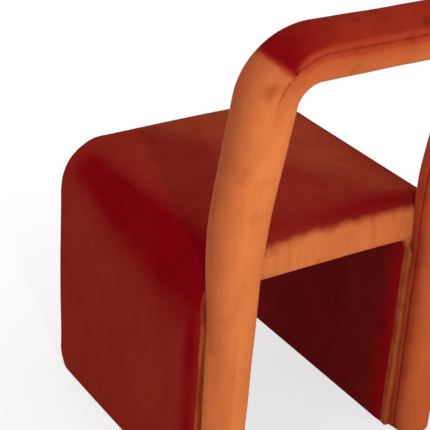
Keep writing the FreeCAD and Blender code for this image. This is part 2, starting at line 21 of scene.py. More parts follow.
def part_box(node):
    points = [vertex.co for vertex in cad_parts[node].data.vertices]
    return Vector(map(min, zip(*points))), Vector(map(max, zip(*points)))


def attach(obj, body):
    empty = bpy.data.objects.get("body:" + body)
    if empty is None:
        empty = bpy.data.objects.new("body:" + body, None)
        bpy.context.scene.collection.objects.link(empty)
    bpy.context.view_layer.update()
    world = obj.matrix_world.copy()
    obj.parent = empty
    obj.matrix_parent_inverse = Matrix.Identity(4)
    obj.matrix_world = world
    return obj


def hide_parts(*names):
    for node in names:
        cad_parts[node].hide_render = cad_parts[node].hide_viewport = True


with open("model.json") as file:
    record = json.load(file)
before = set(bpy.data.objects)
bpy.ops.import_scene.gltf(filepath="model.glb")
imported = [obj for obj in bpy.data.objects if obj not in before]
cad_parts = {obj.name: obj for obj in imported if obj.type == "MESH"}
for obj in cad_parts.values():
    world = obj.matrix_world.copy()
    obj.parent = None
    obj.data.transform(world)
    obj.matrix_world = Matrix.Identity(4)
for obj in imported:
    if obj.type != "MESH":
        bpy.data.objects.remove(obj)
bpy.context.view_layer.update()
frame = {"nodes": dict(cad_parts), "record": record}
scene = bpy.context.scene
scene.view_settings.view_transform = "Standard"

# %% [markdown]
# ## The camera
#
# The photographer stood behind the chair, to the sitter's left, and looked down at
# it through a long lens, with the camera tipped a little. Lens and position were
# found by fitting the block's straight edges, so the camera comes first and every
# later piece can be compared with the photograph.

# %% Camera at the photograph's view
block_low, block_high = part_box("block_cover")
BLOCK_Y = (block_low.y + block_high.y) / 2
CAMERA_AT = Vector((1.2232, 1.6629 + BLOCK_Y, 1.4221))
CAMERA_AIM = Vector((-0.0118, -0.1138 + BLOCK_Y, 0.2756))
CAMERA_ROLL = math.radians(4.0)
LENS, SENSOR = 117.2, 36.0

camera_data = bpy.data.cameras.new("photo_camera")
camera_data.lens = LENS
camera_data.sensor_width = SENSOR
camera = bpy.data.objects.new("photo_camera", camera_data)
scene.collection.objects.link(camera)
camera.location = CAMERA_AT
turn = (CAMERA_AIM - CAMERA_AT).to_track_quat("-Z", "Y")
camera.rotation_mode = "QUATERNION"
camera.rotation_quaternion = turn @ Quaternion((0, 0, 1), CAMERA_ROLL)
scene.camera = camera
print("camera", round((CAMERA_AIM - CAMERA_AT).length, 3), "m from its aim")

# %% [markdown]
# ## The seat block's form
#
# On the real chair a plywood box frame is wrapped in foam, so the block has flat
# faces, wide soft bends from the seat into the sides, rounded front and rear edges,
# and a crisp edge round the arch, where the cover is sewn to the lining. It could be
# a cube with bevels, but the bends and the edges have different radii and fade into
# each other. It is easier to sweep: a rounded slice goes along the U, from one foot
# over the seat to the other, and every slice has the same number of points. The sides
# are crowned a little, the front edges round more at the bends and towards the floor,
# and beside the hoop's legs, which are pulled against the panels, the padding bulges
# back.

# %% The U that the slices follow
WIDTH = block_high.x - block_low.x
DEPTH = block_high.y - block_low.y
HEM_DROP, LINING = 0.0006, 0.002  # the velvet's hem under the CAD cover, the lining's thickness
FOOT = block_low.z - HEM_DROP
SEAT = block_high.z
ARCH_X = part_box("arch_lining")[1].x - LINING
ARCH_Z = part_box("arch_lining")[1].z - LINING
BEND, BEND_POWER = 0.089, 2.5  # a power of 2 would give a circle, more is fuller
CROWN = 0.0018  # how far the seat's middle rises
HEM_ROLL = 0.0025  # height of the rolled edge at the floor
ARCH_SHIFT = 0.022  # how far the slices fan out round the arch's corner
PANEL_STEPS, BEND_STEPS, SEAT_STEPS = 40, 20, 20


def half_u():
    """Outer and inner points of the U on the +X side, from the foot to the middle."""
    pairs = []
    shoulder = SEAT - CROWN
    bend_foot = shoulder - BEND
    for step in range(PANEL_STEPS):
        z = FOOT + HEM_ROLL + (bend_foot - FOOT - HEM_ROLL) * step / PANEL_STEPS
        pairs.append(((WIDTH / 2, z), (ARCH_X, z)))
    half_way = BEND_STEPS // 2
    for step in range(BEND_STEPS + 1):
        angle = math.pi / 2 * step / BEND_STEPS
        x = WIDTH / 2 - BEND + BEND * max(math.cos(angle), 0.0) ** (2 / BEND_POWER)
        z = bend_foot + BEND * math.sin(angle) ** (2 / BEND_POWER)
        if step <= half_way:
            inner = (ARCH_X, bend_foot + (ARCH_Z - bend_foot) * step / half_way)
        else:
            inner = (ARCH_X - ARCH_SHIFT * (step - half_way) / half_way, ARCH_Z)
        pairs.append(((x, z), inner))
    seat_x = WIDTH / 2 - BEND
    for step in range(1, SEAT_STEPS):
        share = 1 - step / SEAT_STEPS
        rise = CROWN * (1 - share ** 2)
        pairs.append(((seat_x * share, shoulder + rise), ((ARCH_X - ARCH_SHIFT) * share, ARCH_Z)))
    pairs.append(((0.0, SEAT), (0.0, ARCH_Z)))
    return pairs


right_half = half_u()
left_half = [((-ox, oz), (-ix, iz)) for (ox, oz), (ix, iz) in reversed(right_half[:-1])]
u_line = right_half + left_half
print("stations along the U:", len(u_line))

# %% One rounded slice
OUTER_STEPS, EDGE_STEPS, FACE_STEPS, ARCH_STEPS, INNER_STEPS = 22, 8, 8, 5, 24
LEAST_EDGE, LEAST_ARCH_EDGE = 0.003, 0.0015
WRAP = 0.0095  # how far the cover goes in round the arch's edge before its seam


def half_slice(thick, inset, edge, arch_edge):
    """Half of a slice, from the middle of its outer side to the middle of its inner side."""
    half = DEPTH / 2 - inset
    near, far = inset, thick - inset
    outer_r = max(edge - inset, LEAST_EDGE)
    inner_r = max(arch_edge - inset, LEAST_ARCH_EDGE)
    points = []
    for step in range(OUTER_STEPS):
        points.append((near, (half - outer_r) * step / OUTER_STEPS))
    for step in range(EDGE_STEPS):
        angle = math.pi / 2 * step / EDGE_STEPS
        points.append((near + outer_r * (1 - math.cos(angle)), half - outer_r * (1 - math.sin(angle))))
    for step in range(FACE_STEPS):
        share = step / FACE_STEPS
        points.append((near + outer_r + (far - inner_r - near - outer_r) * share, half))
    for step in range(ARCH_STEPS):
        angle = math.pi / 2 * step / ARCH_STEPS
        points.append((far - inner_r * (1 - math.sin(angle)), half - inner_r * (1 - math.cos(angle))))
    points.append((far, half - inner_r))
    for along in np.linspace(half - inner_r - WRAP, 0.0, INNER_STEPS):
        points.append((far, float(along)))
    return points


def whole_slice(thick, inset, rear_edge, front_edge, arch_edge):
    rear = half_slice(thick, inset, rear_edge, arch_edge)
    front = half_slice(thick, inset, front_edge, arch_edge)
    return rear + [(across, -along) for across, along in reversed(front[1:-1])]


print("a slice has", len(whole_slice(BEND, 0.0, LEAST_EDGE, LEAST_EDGE, LEAST_ARCH_EDGE)), "points")

# %% Rings of the block, from one foot to the other
EDGE_PANEL, EDGE_SEAT = 0.011, 0.026
FRONT_HEIGHTS = (0.0, 0.03, 0.13, 0.22, 0.34, 0.39, 0.41, 0.42, 0.428)
FRONT_RADII = (0.044, 0.035, 0.027, 0.024, 0.026, 0.031, 0.032, 0.030, 0.0225)
ARCH_PANEL, ARCH_SEAT = 0.005, 0.004
BULGE, SIDE_CROWN = 0.014, 0.003
HEM = ((0.024, 0.0030), (0.010, 0.0024), (0.003, 0.0004), (0.0010, 0.0), (0.0002, 0.0010))
TOE_CUT, TOE_HEIGHT = 0.015, 0.025  # the panels' lower front corners are drawn in


def smooth_step(low, high, number):
    """0 below low, 1 above high, and a smooth rise between them."""
    share = np.clip((np.asarray(number, dtype=float) - low) / (high - low), 0, 1)
    return share * share * (3 - 2 * share)


def ramp(low, high, number):
    """The same for a single number."""
    return float(smooth_step(low, high, number))


def ring(pair, inset=0.0):
    """The slice at one station of the U, as points in the chair's frame."""
    outer, inner = np.array(pair[0]), np.array(pair[1])
    across = inner - outer
    thick = float(np.linalg.norm(across))
    across = across / thick
    rear_edge = EDGE_PANEL + (EDGE_SEAT - EDGE_PANEL) * ramp(SEAT - BEND, SEAT - 0.01, outer[1])
    front_edge = float(np.interp(outer[1], FRONT_HEIGHTS, FRONT_RADII))
    arch_edge = ARCH_PANEL + (ARCH_SEAT - ARCH_PANEL) * ramp(0.30, 0.34, inner[1])
    on_panel = 1 - ramp(SEAT - BEND, SEAT - 0.3 * BEND, outer[1])
    points = []
    for depth_in, along in whole_slice(thick, inset, rear_edge, front_edge, arch_edge):
        x, z = outer + across * depth_in
        share = depth_in / thick
        beside_leg = 1 - smooth_step(0.300 + 0.038 * share, 0.415 - 0.055 * share, z)
        push = BULGE * float(smooth_step(0.10, 0.20, along) * beside_leg)
        crown = SIDE_CROWN * on_panel * (1 - share) * max(1 - ((along - 0.03) / 0.25) ** 2, 0.0)
        points.append((x + math.copysign(crown, x), BLOCK_Y + along + push, z))
    return points


def foot_rings(pair):
    """Rings under a side panel: a rolled edge and a hem turned in under it."""
    outer, inner = pair
    levels = [(inset, FOOT + height) for inset, height in HEM]
    return [ring(((outer[0], level), (inner[0], level)), inset) for inset, level in levels]


rings = foot_rings(u_line[0])
rings += [ring(pair) for pair in u_line]
rings += reversed(foot_rings(u_line[-1]))
block_points = np.array(rings)
STATIONS, AROUND = block_points.shape[:2]
low_down = np.clip(1 - block_points[..., 2] / TOE_HEIGHT, 0, 1) ** 2
near_front = 1 - smooth_step(0.0, 0.12, block_points[..., 1] - (BLOCK_Y - DEPTH / 2))
block_points[..., 1] += TOE_CUT * low_down * near_front
ARCH_CORNER = OUTER_STEPS + EDGE_STEPS + FACE_STEPS + ARCH_STEPS
SEAM_REAR = ARCH_CORNER + 1
SEAM_FRONT = AROUND - SEAM_REAR
print("block grid", STATIONS, "by", AROUND)

# %% [markdown]
# ## Letting the padding push
#
# Foam under tight cloth swells the faces a little between the places where the cloth
# is held. Blender's Cloth does this with pressure inside a closed mesh: the seams
# round the arch and the hems under the panels are held, gravity is off, and the
# movement is capped, because real foam gives way after a few millimetres. The result
# is read back as points, so no simulation stays in the file.

# %% Swell the block


def grid_mesh(name, points, closed_around=True):
    """A mesh of quads over a grid of points."""
    rows, columns = points.shape[:2]
    wraps = columns if closed_around else columns - 1
    faces = []
    for row in range(rows - 1):
        for column in range(wraps):
            after = (column + 1) % columns
            faces.append((row * columns + column, row * columns + after,
                          (row + 1) * columns + after, (row + 1) * columns + column))
    mesh = bpy.data.meshes.new(name)
    mesh.from_pydata([tuple(point) for point in points.reshape(-1, 3)], [], faces)
    return mesh


def swelled(points, held, pressure, frames, cap):
    """The grid after a short pressure simulation, with a soft limit on the movement."""
    rows, columns = points.shape[:2]
    mesh = grid_mesh("swelling", points)
    last = (rows - 1) * columns
    form = bmesh.new()
    form.from_mesh(mesh)
    form.verts.ensure_lookup_table()
    form.faces.new([form.verts[column] for column in reversed(range(columns))])
    form.faces.new([form.verts[last + column] for column in range(columns)])
    bmesh.ops.recalc_face_normals(form, faces=form.faces)
    form.to_mesh(mesh)
    form.free()
    body = bpy.data.objects.new("swelling", mesh)
    scene.collection.objects.link(body)
    pins = body.vertex_groups.new(name="held")
    for row in range(rows):
        for column in range(columns):
            pins.add([row * columns + column], float(held[row, column]), "REPLACE")
    cloth = body.modifiers.new("cloth", "CLOTH")
    settings = cloth.settings
    settings.quality = 4
    settings.mass = 0.4
    settings.tension_stiffness = 25
    settings.compression_stiffness = 25
    settings.shear_stiffness = 10
    settings.bending_stiffness = 2
    settings.use_pressure = True
    settings.uniform_pressure_force = pressure
    settings.vertex_group_mass = "held"
    settings.effector_weights.gravity = 0
    cloth.point_cache.frame_start = 1
    cloth.point_cache.frame_end = frames
    for number in range(1, frames + 1):
        scene.frame_set(number)
    moved = body.evaluated_get(bpy.context.evaluated_depsgraph_get()).data
    after = np.zeros(rows * columns * 3)
    moved.vertices.foreach_get("co", after)
    scene.frame_set(1)
    bpy.data.objects.remove(body)
    bpy.data.meshes.remove(mesh)
    shift = after.reshape(points.shape) - points
    length = np.linalg.norm(shift, axis=2, keepdims=True)
    limited = cap * np.tanh(length / cap) / np.maximum(length, 1e-9)
    return points + shift * limited


held = np.zeros((STATIONS, AROUND))
held[:, [SEAM_REAR, SEAM_FRONT]] = 1.0
held[:len(HEM)] = 1.0
held[-len(HEM):] = 1.0
PRESSURE, FRAMES, SWELL_CAP = 3.0, 14, 0.0018
flat_block = block_points.copy()
block_points = swelled(block_points, held, PRESSURE, FRAMES, SWELL_CAP)
swell = np.linalg.norm(block_points - flat_block, axis=2)
print("block swelled by", round(float(swell.max()) * 1000, 2), "mm at most")

# %% [markdown]
# ## Cutting the block's velvet
#
# The cover and the lining of the arch are two pieces of cloth. Each is cut from the
# grid, its sewn edge is drawn in to make the valley of a seam, and a Solidify
# modifier gives it the thickness of velvet on its backing. The pile opens where the
# cloth goes round a bend, and attributes remember where, for the material, together
# with the painted light and shade.

# %% Helpers for cloth pieces
SKIN = 0.002
FLOOR_GAP = 0.0002
CREASE = math.radians(55)


def cloth_piece(name, points, **kept):
    """A piece of cloth from a grid. Each number kept per point becomes an attribute."""
    mesh = grid_mesh(name, points, False)
    for key, numbers in kept.items():
        attribute = mesh.attributes.new(key, "FLOAT", "POINT")
        attribute.data.foreach_set("value", np.asarray(numbers, dtype=np.float32).reshape(-1))
    mesh.shade_smooth()
    piece = bpy.data.objects.new(name, mesh)
    scene.collection.objects.link(piece)
    form = bmesh.new()
    form.from_mesh(mesh)
    bmesh.ops.recalc_face_normals(form, faces=form.faces)
    form.to_mesh(mesh)
    form.free()
    return piece


def face_outward(piece, probe):
    """Turns a piece's faces so that they look away from a point inside the padding."""
    mesh = piece.data
    votes = sum((face.center - probe(face.center)).dot(face.normal) for face in mesh.polygons)
    if votes < 0:
        mesh.flip_normals()
    return piece


def thicken(piece, thickness):
    """Gives the cloth its thickness, inwards, and applies it."""
    solid = piece.modifiers.new("thickness", "SOLIDIFY")
    solid.thickness = thickness
    solid.offset = -1.0
    solid.use_rim = True
    kept = bpy.data.meshes.new_from_object(piece.evaluated_get(bpy.context.evaluated_depsgraph_get()))
    piece.modifiers.clear()
    old = piece.data
    piece.data = kept
    kept.name = old.name
    bpy.data.meshes.remove(old)
    for vertex in kept.vertices:
        vertex.co.z = max(vertex.co.z, FLOOR_GAP)
    kept.shade_smooth()
    kept.set_sharp_from_angle(angle=CREASE)
    return piece


print("velvet", SKIN * 1000, "mm thick")

# %% Draw in the seams
down_rows = np.gradient(block_points, axis=0)
round_loop = np.roll(block_points, -1, axis=1) - np.roll(block_points, 1, axis=1)
normals = np.cross(down_rows, round_loop)
normals /= np.maximum(np.linalg.norm(normals, axis=2, keepdims=True), 1e-9)
middle = STATIONS // 2
if normals[middle, 0, 2] < 0:
    normals = -normals

VALLEY = ((-1, 0.0002), (0, 0.0014), (1, 0.0002))
SETTLE = 0.0005
seam_draw = np.zeros((STATIONS, AROUND))
for seam in (SEAM_REAR, SEAM_FRONT):
    for offset, depth in VALLEY:
        seam_draw[:, seam + offset] += depth
uneven = np.array([[noise.noise(Vector(point) * 9.0) for point in row] for row in block_points])
settle = SETTLE * uneven * (1 - held)
block_points = block_points - normals * seam_draw[..., None] + normals * settle[..., None]
block_points[..., 2] = np.maximum(block_points[..., 2], FOOT)
print("seams drawn in by", seam_draw.max() * 1000, "mm")

# %% [markdown]
# ## Where the block's nap lies, and where light and shade are painted
#
# A hand that strokes velvet leaves it lighter or darker, and so does every bend. On
# this block the deep red over the bends, along the slab's rear edge and down the
# panels' rear edges is partly the opening pile and partly painted shade, wider towards
# the rear. The orange on the end faces is partly the nap and partly painted light from
# the lamp behind the chair. The lighter brown at the far corner of the seat is painted
# light, where the seat lies outside the near leg's shadow. Painting this on an image
# would need an unwrapped mesh. Here each effect is a number per point, worked out from
# the place and the normal, and kept as an attribute that the material reads.

# %% Deep red, where the pile opens, and painted shade
block_x, block_z = block_points[..., 0], block_points[..., 2]
behind = block_points[..., 1] - BLOCK_Y
to_rear_end = DEPTH / 2 - behind


def bell(distance, width):
    """1 where the distance is 0, fading to both sides, for one number or many."""
    return np.exp(-(distance / width) ** 2)


along_u = np.linalg.norm(np.diff(block_points[:, 0], axis=0), axis=1).cumsum()
along_u = np.concatenate(([0.0], along_u))
from_end = np.minimum(along_u, along_u[-1] - along_u)
crest = from_end[np.argmin(np.abs(block_points[:middle, 0, 2] - (SEAT - BEND * 0.29)))]
down = (crest - from_end)[:, None]
rearward = smooth_step(-0.22, 0.20, behind)
core = -0.003 + 0.018 * rearward
reach = np.where(down > core, 0.034 + 0.052 * rearward, 0.025 + 0.035 * rearward)
# painted shade with the opening pile: the deep red over the bends widens towards the rear, runs down the
# panels' rear edges beside the legs, and along the slab's rear edge is deeper on the far side
over_bend = np.minimum(1.3 * bell(down - core, reach), 1.0) * smooth_step(0.010, 0.080, behind + DEPTH / 2)
rear_band = 0.85 * bell(to_rear_end - 0.002, 0.020) * (np.abs(normals[..., 0]) > 0.5)
slab_edge = bell(to_rear_end - 0.022, 0.022) * smooth_step(SEAT - 0.05, SEAT - 0.02, block_z)
slab_edge *= 0.90 - 0.55 * smooth_step(-0.08, 0.05, block_x)
pile_open_and_shade = np.maximum(np.maximum(over_bend, rear_band), slab_edge)
pile_open_and_shade = np.clip(pile_open_and_shade * (1 + 0.35 * uneven), 0, 1)
# painted light: the lining is a brighter red near the arch's rear opening, where light reaches in
lining_painted_light = bell(to_rear_end, 0.028)
print("deep red on", round(float((pile_open_and_shade > 0.5).mean()), 3), "of the block's points")

# %% Orange on the end faces, partly painted light; painted light at the far corner; painted shade behind the legs
on_seat = smooth_step(0.34, 0.38, block_z) * (1 - smooth_step(0.17, 0.21, np.abs(block_x)))
facing = np.abs(normals[..., 1])
# painted light with the nap: orange where the end faces look towards the lamp behind the chair, less on the
# slab's near side and on the panels' outer halves
turned = np.degrees(np.arcsin(np.clip(facing, 0, 1))) - 10 * smooth_step(0.03, 0.11, block_x)
end_face = on_seat * np.clip((turned - 29) / 55, 0, 1) + (1 - on_seat) * smooth_step(0.72, 0.99, facing)
WRAPPED = ARCH_CORNER - ARCH_STEPS
end_face[:, :WRAPPED] *= 0.50 + 0.50 * on_seat[:, :WRAPPED]
end_face[:, WRAPPED:SEAM_REAR + 1] = 0.56 + 0.44 * on_seat[:, WRAPPED:SEAM_REAR + 1]
end_face[:, SEAM_FRONT:AROUND - WRAPPED + 1] = 1.0

# painted light: a lighter brown on the seat's far front corner, outside the near leg's shadow
far_corner = smooth_step(-0.02, 0.09, -block_x - 0.6 * behind)
lit_far_corner = 0.30 * smooth_step(0.75, 0.95, normals[..., 2]) * far_corner * (1 - pile_open_and_shade)

TOUCHED_FROM, TOUCHED_TO, TOUCH_SHADE = (0.153, 0.158), (0.2345, 0.2385), 0.6
touched = smooth_step(*TOUCHED_FROM, np.abs(block_x)) * (1 - smooth_step(*TOUCHED_TO, np.abs(block_x)))
touched *= (behind > 0) * smooth_step(0.3, 0.8, facing) * (1 - smooth_step(0.33, 0.37, block_z))
print("orange on", round(float((end_face > 0.5).mean()), 3), "of the block's points")

# %% Cut the cover and the lining
cover_columns = list(range(SEAM_FRONT, AROUND)) + list(range(0, SEAM_REAR + 1))
lining_columns = list(range(SEAM_REAR, SEAM_FRONT + 1))
cover_marks = {"open_pile": pile_open_and_shade, "end_face": end_face, "lit_far_corner": lit_far_corner,
               "seam_shade": TOUCH_SHADE * touched}
block_cover = cloth_piece("seat_block_cover", block_points[:, cover_columns],
                          **{key: numbers[:, cover_columns] for key, numbers in cover_marks.items()})
arch_lining = cloth_piece("arch_lining_cloth", block_points[:, lining_columns],
                          open_pile=lining_painted_light[:, lining_columns])
INSIDE_X, INSIDE_Y = 0.18, 0.17


def inside_block(point):
    """The point of the panel's or slab's middle nearest to a point on the block."""
    y = min(max(point.y, BLOCK_Y - INSIDE_Y), BLOCK_Y + INSIDE_Y)
    if point.z < ARCH_Z:
        return Vector((math.copysign((WIDTH / 2 + ARCH_X) / 2, point.x), y, point.z))
    return Vector((min(max(point.x, -INSIDE_X), INSIDE_X), y, (ARCH_Z + SEAT) / 2))


for piece in (block_cover, arch_lining):
    face_outward(piece, inside_block)
    thicken(piece, SKIN)
print("cover", len(block_cover.data.polygons), "faces, lining", len(arch_lining.data.polygons))

# %% [markdown]
# ## The hoop's line
#
# The back is one tube, padded and covered. Its legs stand upright behind the panels,
# lean back in a long arc, turn through a round bend and join in the top bar. A curve
# with a round bevel would give the tube, but the seams, the mitres and the flat side
# where it is pressed against the block need control of each ring. So the line is
# written as runs and arcs, and each ring is laid out round it one by one.

# %% Stations along the hoop
plug_low, plug_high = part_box("hoop_foot_plugs")
PLUG_RADIUS = (plug_high.y - plug_low.y) / 2
LEG_X = plug_high.x - PLUG_RADIUS
LEG_Y = (plug_low.y + plug_high.y) / 2
LEAN_START, LEAN_RADIUS, LEAN = 0.355, 1.0, math.radians(11.0)
BAR_Z, HOOP_BEND = 0.754, 0.066
STAND_OFF, TOE_IN = 0.005, 0.0012  # a low leg is pushed back and in by these

OUT = Vector((1, 0, 0))
UP = Vector((0, math.sin(LEAN), math.cos(LEAN)))
lean_back, lean_rise = LEAN_RADIUS * (1 - math.cos(LEAN)), LEAN_RADIUS * math.sin(LEAN)
lean_end = Vector((LEG_X, LEG_Y + lean_back, LEAN_START + lean_rise))
bar_corner = lean_end + UP * ((BAR_Z - lean_end.z) / UP.z)
bend_centre = bar_corner - (UP + OUT) * HOOP_BEND
UPRIGHT = LEAN_START - FOOT
ARC = LEAN_RADIUS * LEAN
LEANING = (bar_corner - lean_end).length - HOOP_BEND
TURN = HOOP_BEND * math.pi / 2
BAR_HALF = bend_centre.x
HALF_LENGTH = UPRIGHT + ARC + LEANING + TURN + BAR_HALF
MITRE = UPRIGHT + ARC + LEANING + TURN / 2


def hoop_station(length):
    """Centre, rear direction and outward direction at a length from the +X foot."""
    if length > HALF_LENGTH:
        return tuple(Vector((-way.x, way.y, way.z)) for way in hoop_station(2 * HALF_LENGTH - length))
    low_leg = 1 - ramp(0.34, 0.48, length)
    leg_x, leg_y = LEG_X - TOE_IN * low_leg, LEG_Y + STAND_OFF * low_leg
    rest = length
    if rest <= UPRIGHT:
        return Vector((leg_x, leg_y, FOOT + rest)), Vector((0, 1, 0)), OUT
    rest -= UPRIGHT
    if rest <= ARC:
        angle = rest / LEAN_RADIUS
        back = LEAN_RADIUS * (1 - math.cos(angle))
        centre = Vector((leg_x, leg_y + back, LEAN_START + LEAN_RADIUS * math.sin(angle)))
        return centre, Vector((0, math.cos(angle), -math.sin(angle))), OUT
    rest -= ARC
    rear = Vector((0, math.cos(LEAN), -math.sin(LEAN)))
    if rest <= LEANING:
        return lean_end + UP * rest, rear, OUT
    rest -= LEANING
    if rest <= TURN:
        angle = rest / HOOP_BEND
        out = OUT * math.cos(angle) + UP * math.sin(angle)
        return bend_centre + out * HOOP_BEND, rear, out
    rest -= TURN
    return bend_centre + UP * HOOP_BEND - OUT * rest, rear, UP


FIRST_RING, CLEAR_OF_MITRE = 0.005, 0.006
half_lengths = list(np.linspace(FIRST_RING, UPRIGHT, 50, endpoint=False))
half_lengths += list(np.linspace(UPRIGHT, UPRIGHT + ARC + LEANING, 48, endpoint=False))
half_lengths += list(np.linspace(UPRIGHT + ARC + LEANING, HALF_LENGTH - BAR_HALF, 24, endpoint=False))
half_lengths += list(np.linspace(HALF_LENGTH - BAR_HALF, HALF_LENGTH, 20))
SEAM_STEPS = (0.0011, 0.0024, 0.0044)
near_mitre = [MITRE + side * step for step in SEAM_STEPS for side in (-1, 1)] + [MITRE]
clear = [length for length in half_lengths if abs(length - MITRE) > CLEAR_OF_MITRE]
half_lengths = sorted(clear + near_mitre)
hoop_lengths = np.array(half_lengths + [2 * HALF_LENGTH - length for length in reversed(half_lengths[:-1])])
print("hoop length", round(2 * HALF_LENGTH, 3), "m in", len(hoop_lengths), "rings")

# %% [markdown]
# ## The hoop's section and seams
#
# The padded tube is a little thinner at the floor than at the top of the legs. Four
# pieces of velvet cover it: a long strip on the rear inner side, one piece for each
# leg, and one for the top bar. The leg pieces meet the bar's piece in a mitre across
# each bend. A seam is a valley with the cloth's edge turned in, and on the tight bend
# the cloth gathers into small puckers beside it. Low down the legs are flattened where
# the panels stop them, and some of their padding is squeezed out to the inner side.
# A Lattice or sculpting could press them in, but a ray against the block's own mesh
# says exactly where each point has to stop.

# %% Where the seams run
REAR_SEAM_LEG, REAR_SEAM_BAR = math.radians(13.0), math.radians(27.0)
INNER_SEAM = math.radians(-90.0)
SEAM_MARGIN = 0.0075


def up_leg(length):
    """Length along the hoop, counted from the nearer foot."""
    return min(length, 2 * HALF_LENGTH - length)


def from_mitre(length):
    """The same, counted from the nearer mitre towards the top bar."""
    return up_leg(length) - MITRE


def rear_seam(length):
    return REAR_SEAM_LEG + (REAR_SEAM_BAR - REAR_SEAM_LEG) * ramp(-0.10, 0.06, from_mitre(length))


def hoop_radius(length):
    """Radius of the padding: thin at the foot, fullest under the bend."""
    stops = [0.0, 0.12, 0.35, 0.41, 0.47, MITRE - 0.06, MITRE + 0.05, HALF_LENGTH]
    sizes = [0.0330, 0.0344, 0.0375, 0.0397, 0.0420, 0.0430, 0.0410, 0.0400]
    return float(np.interp(up_leg(length), stops, sizes))


def sector_turns(start, end, radius, count):
    """Turns from one seam to the next, closer together beside the seams."""
    close = [0.0] + [step / radius for step in SEAM_STEPS]
    margin = SEAM_MARGIN / radius
    inside = np.linspace(start + margin, end - margin, count)
    return [start + turn for turn in close] + list(inside) + [end - turn for turn in reversed(close)]


print("radius", hoop_radius(0.0), "m at the foot,", hoop_radius(MITRE), "m at the mitre")

# %% Points round the hoop
block_tree = BVHTree.FromPolygons([vertex.co for vertex in block_cover.data.vertices],
                                  [face.vertices for face in block_cover.data.polygons])
CONTACT, SOFTNESS, BEHIND_ALL = 0.0006, 0.0015, 0.6
SQUEEZED_AT, SQUEEZED_WIDTH, SQUEEZED_OUT = math.radians(-118.0), math.radians(26.0), 0.004
SQUARENESS = 2.2  # 2 would be a circle


def pressed(point):
    """Moves a point back to where the block's rear face stops it."""
    hit = block_tree.ray_cast(Vector((point.x, BEHIND_ALL, point.z)), Vector((0, -1, 0)))[0]
    if hit is None or hit.y < BLOCK_Y:
        return point
    gap = point.y - hit.y - CONTACT
    kept_off = (gap + math.sqrt(gap * gap + SOFTNESS * SOFTNESS)) / 2
    return Vector((point.x, hit.y + CONTACT + kept_off, point.z))


def squeezed(length, turn):
    """The padding that the panel pushes out sideways, on the leg's inner side."""
    off = (turn - SQUEEZED_AT + math.pi) % (2 * math.pi) - math.pi
    return SQUEEZED_OUT * bell(off, SQUEEZED_WIDTH) * (1 - ramp(0.26, 0.36, up_leg(length)))


def hoop_point(length, turn, shrink):
    """A point of the padding at a length along the hoop and a turn round it."""
    centre, rear, out = hoop_station(length)
    reach = hoop_radius(length) + squeezed(length, turn) - shrink
    square = (abs(math.cos(turn)) ** SQUARENESS + abs(math.sin(turn)) ** SQUARENESS) ** (-1 / SQUARENESS)
    return pressed(centre + (rear * math.cos(turn) + out * math.sin(turn)) * (reach * square))


print("left foot's rear point", [round(number, 4) for number in hoop_point(FIRST_RING, 0.0, 0.0)])

# %% Valleys, puckers and the mitre's slant
INNER_DEPTH, MITRE_DEPTH, SEAM_WIDTH, TURNED_IN = 0.0014, 0.0002, 0.0020, 0.0045
REAR_DEPTH_LEG, REAR_DEPTH_BAR = 0.0003, 0.0014
PUCKER_PITCH, PUCKER_DEPTH = 0.0065, 0.0014
SLANT, SLANT_AT, WAVER = 0.0050, math.radians(60.0), 0.0008


def rear_depth(length):
    """Depth of the rear seam: hardly there on the legs, pulled in round the bends and the bar."""
    return REAR_DEPTH_LEG + (REAR_DEPTH_BAR - REAR_DEPTH_LEG) * ramp(-0.048, -0.012, from_mitre(length))


def pucker(length, distance):
    """Small gathers that fade away from the rear seam and from the bend."""
    fade = math.exp(-distance / 0.007) * (1 - math.exp(-distance / 0.0015))
    wander = 1 + 0.6 * noise.noise(Vector((length * 45.0, distance * 60.0, 3.0)))
    wave = math.sin(2 * math.pi * length / PUCKER_PITCH)
    return PUCKER_DEPTH * bell(from_mitre(length) - 0.01, 0.05) * fade * wander * wave


def skewed(length, turn):
    """Slants the mitre's line across the bend, a little unevenly."""
    way = 1.0 if length <= HALF_LENGTH else -1.0
    slant = SLANT * math.cos(turn + SLANT_AT) + WAVER * noise.noise(Vector((turn * 5.0, way, 0.5)))
    return length + way * slant * bell(from_mitre(length), 0.03)


print("puckers every", PUCKER_PITCH * 1000, "mm")

# %% Shade in the seams and ruffled nap beside them
STITCH = 0.0065


def seam_shade(length, to_rear, to_inner):
    """Shade in the seams, broken up as stitches break it."""
    stitched = 0.25 * math.sin(2 * math.pi * length / STITCH) * bell(from_mitre(length), 0.06)
    broken = 0.5 + stitched + 0.5 * noise.noise(Vector((length * 160.0, 0.0, 7.0)))
    drawn = 0.12 + 0.88 * ramp(-0.046, -0.020, from_mitre(length))
    shade = bell(to_rear, 0.0015) * drawn * broken + 0.7 * bell(to_inner, 0.0018)
    return min(max(shade, 0.0), 1.0)


def beside_seam(length, to_rear, to_inner, mitred):
    """The nap is ruffled beside the mitres, the rear seam of the top bar and the legs' inner seams."""
    on_bar = ramp(-0.015, 0.025, from_mitre(length))
    rear = (1 - ramp(0.0, 0.020, to_rear)) * on_bar
    inner = 0.75 * (1 - ramp(0.004, 0.030, to_inner)) * (1 - on_bar)
    if not mitred:
        return max(rear, inner)
    mitre = 0.8 * math.exp(-abs(from_mitre(length)) / 0.005)
    rubbed = 0.70 * bell(from_mitre(length) + 0.024, 0.016) * bell(to_rear - 0.016, 0.016)
    return max(rear, inner, mitre, rubbed)


print("stitches every", STITCH * 1000, "mm")

# %% Lay out one sector of the hoop
UNEVEN = 0.0006
FOOT_HEM = ((0.999, 0.0012), (0.99, 0.0003), (0.965, 0.0), (0.72, 0.0012), (0.66, 0.0026))


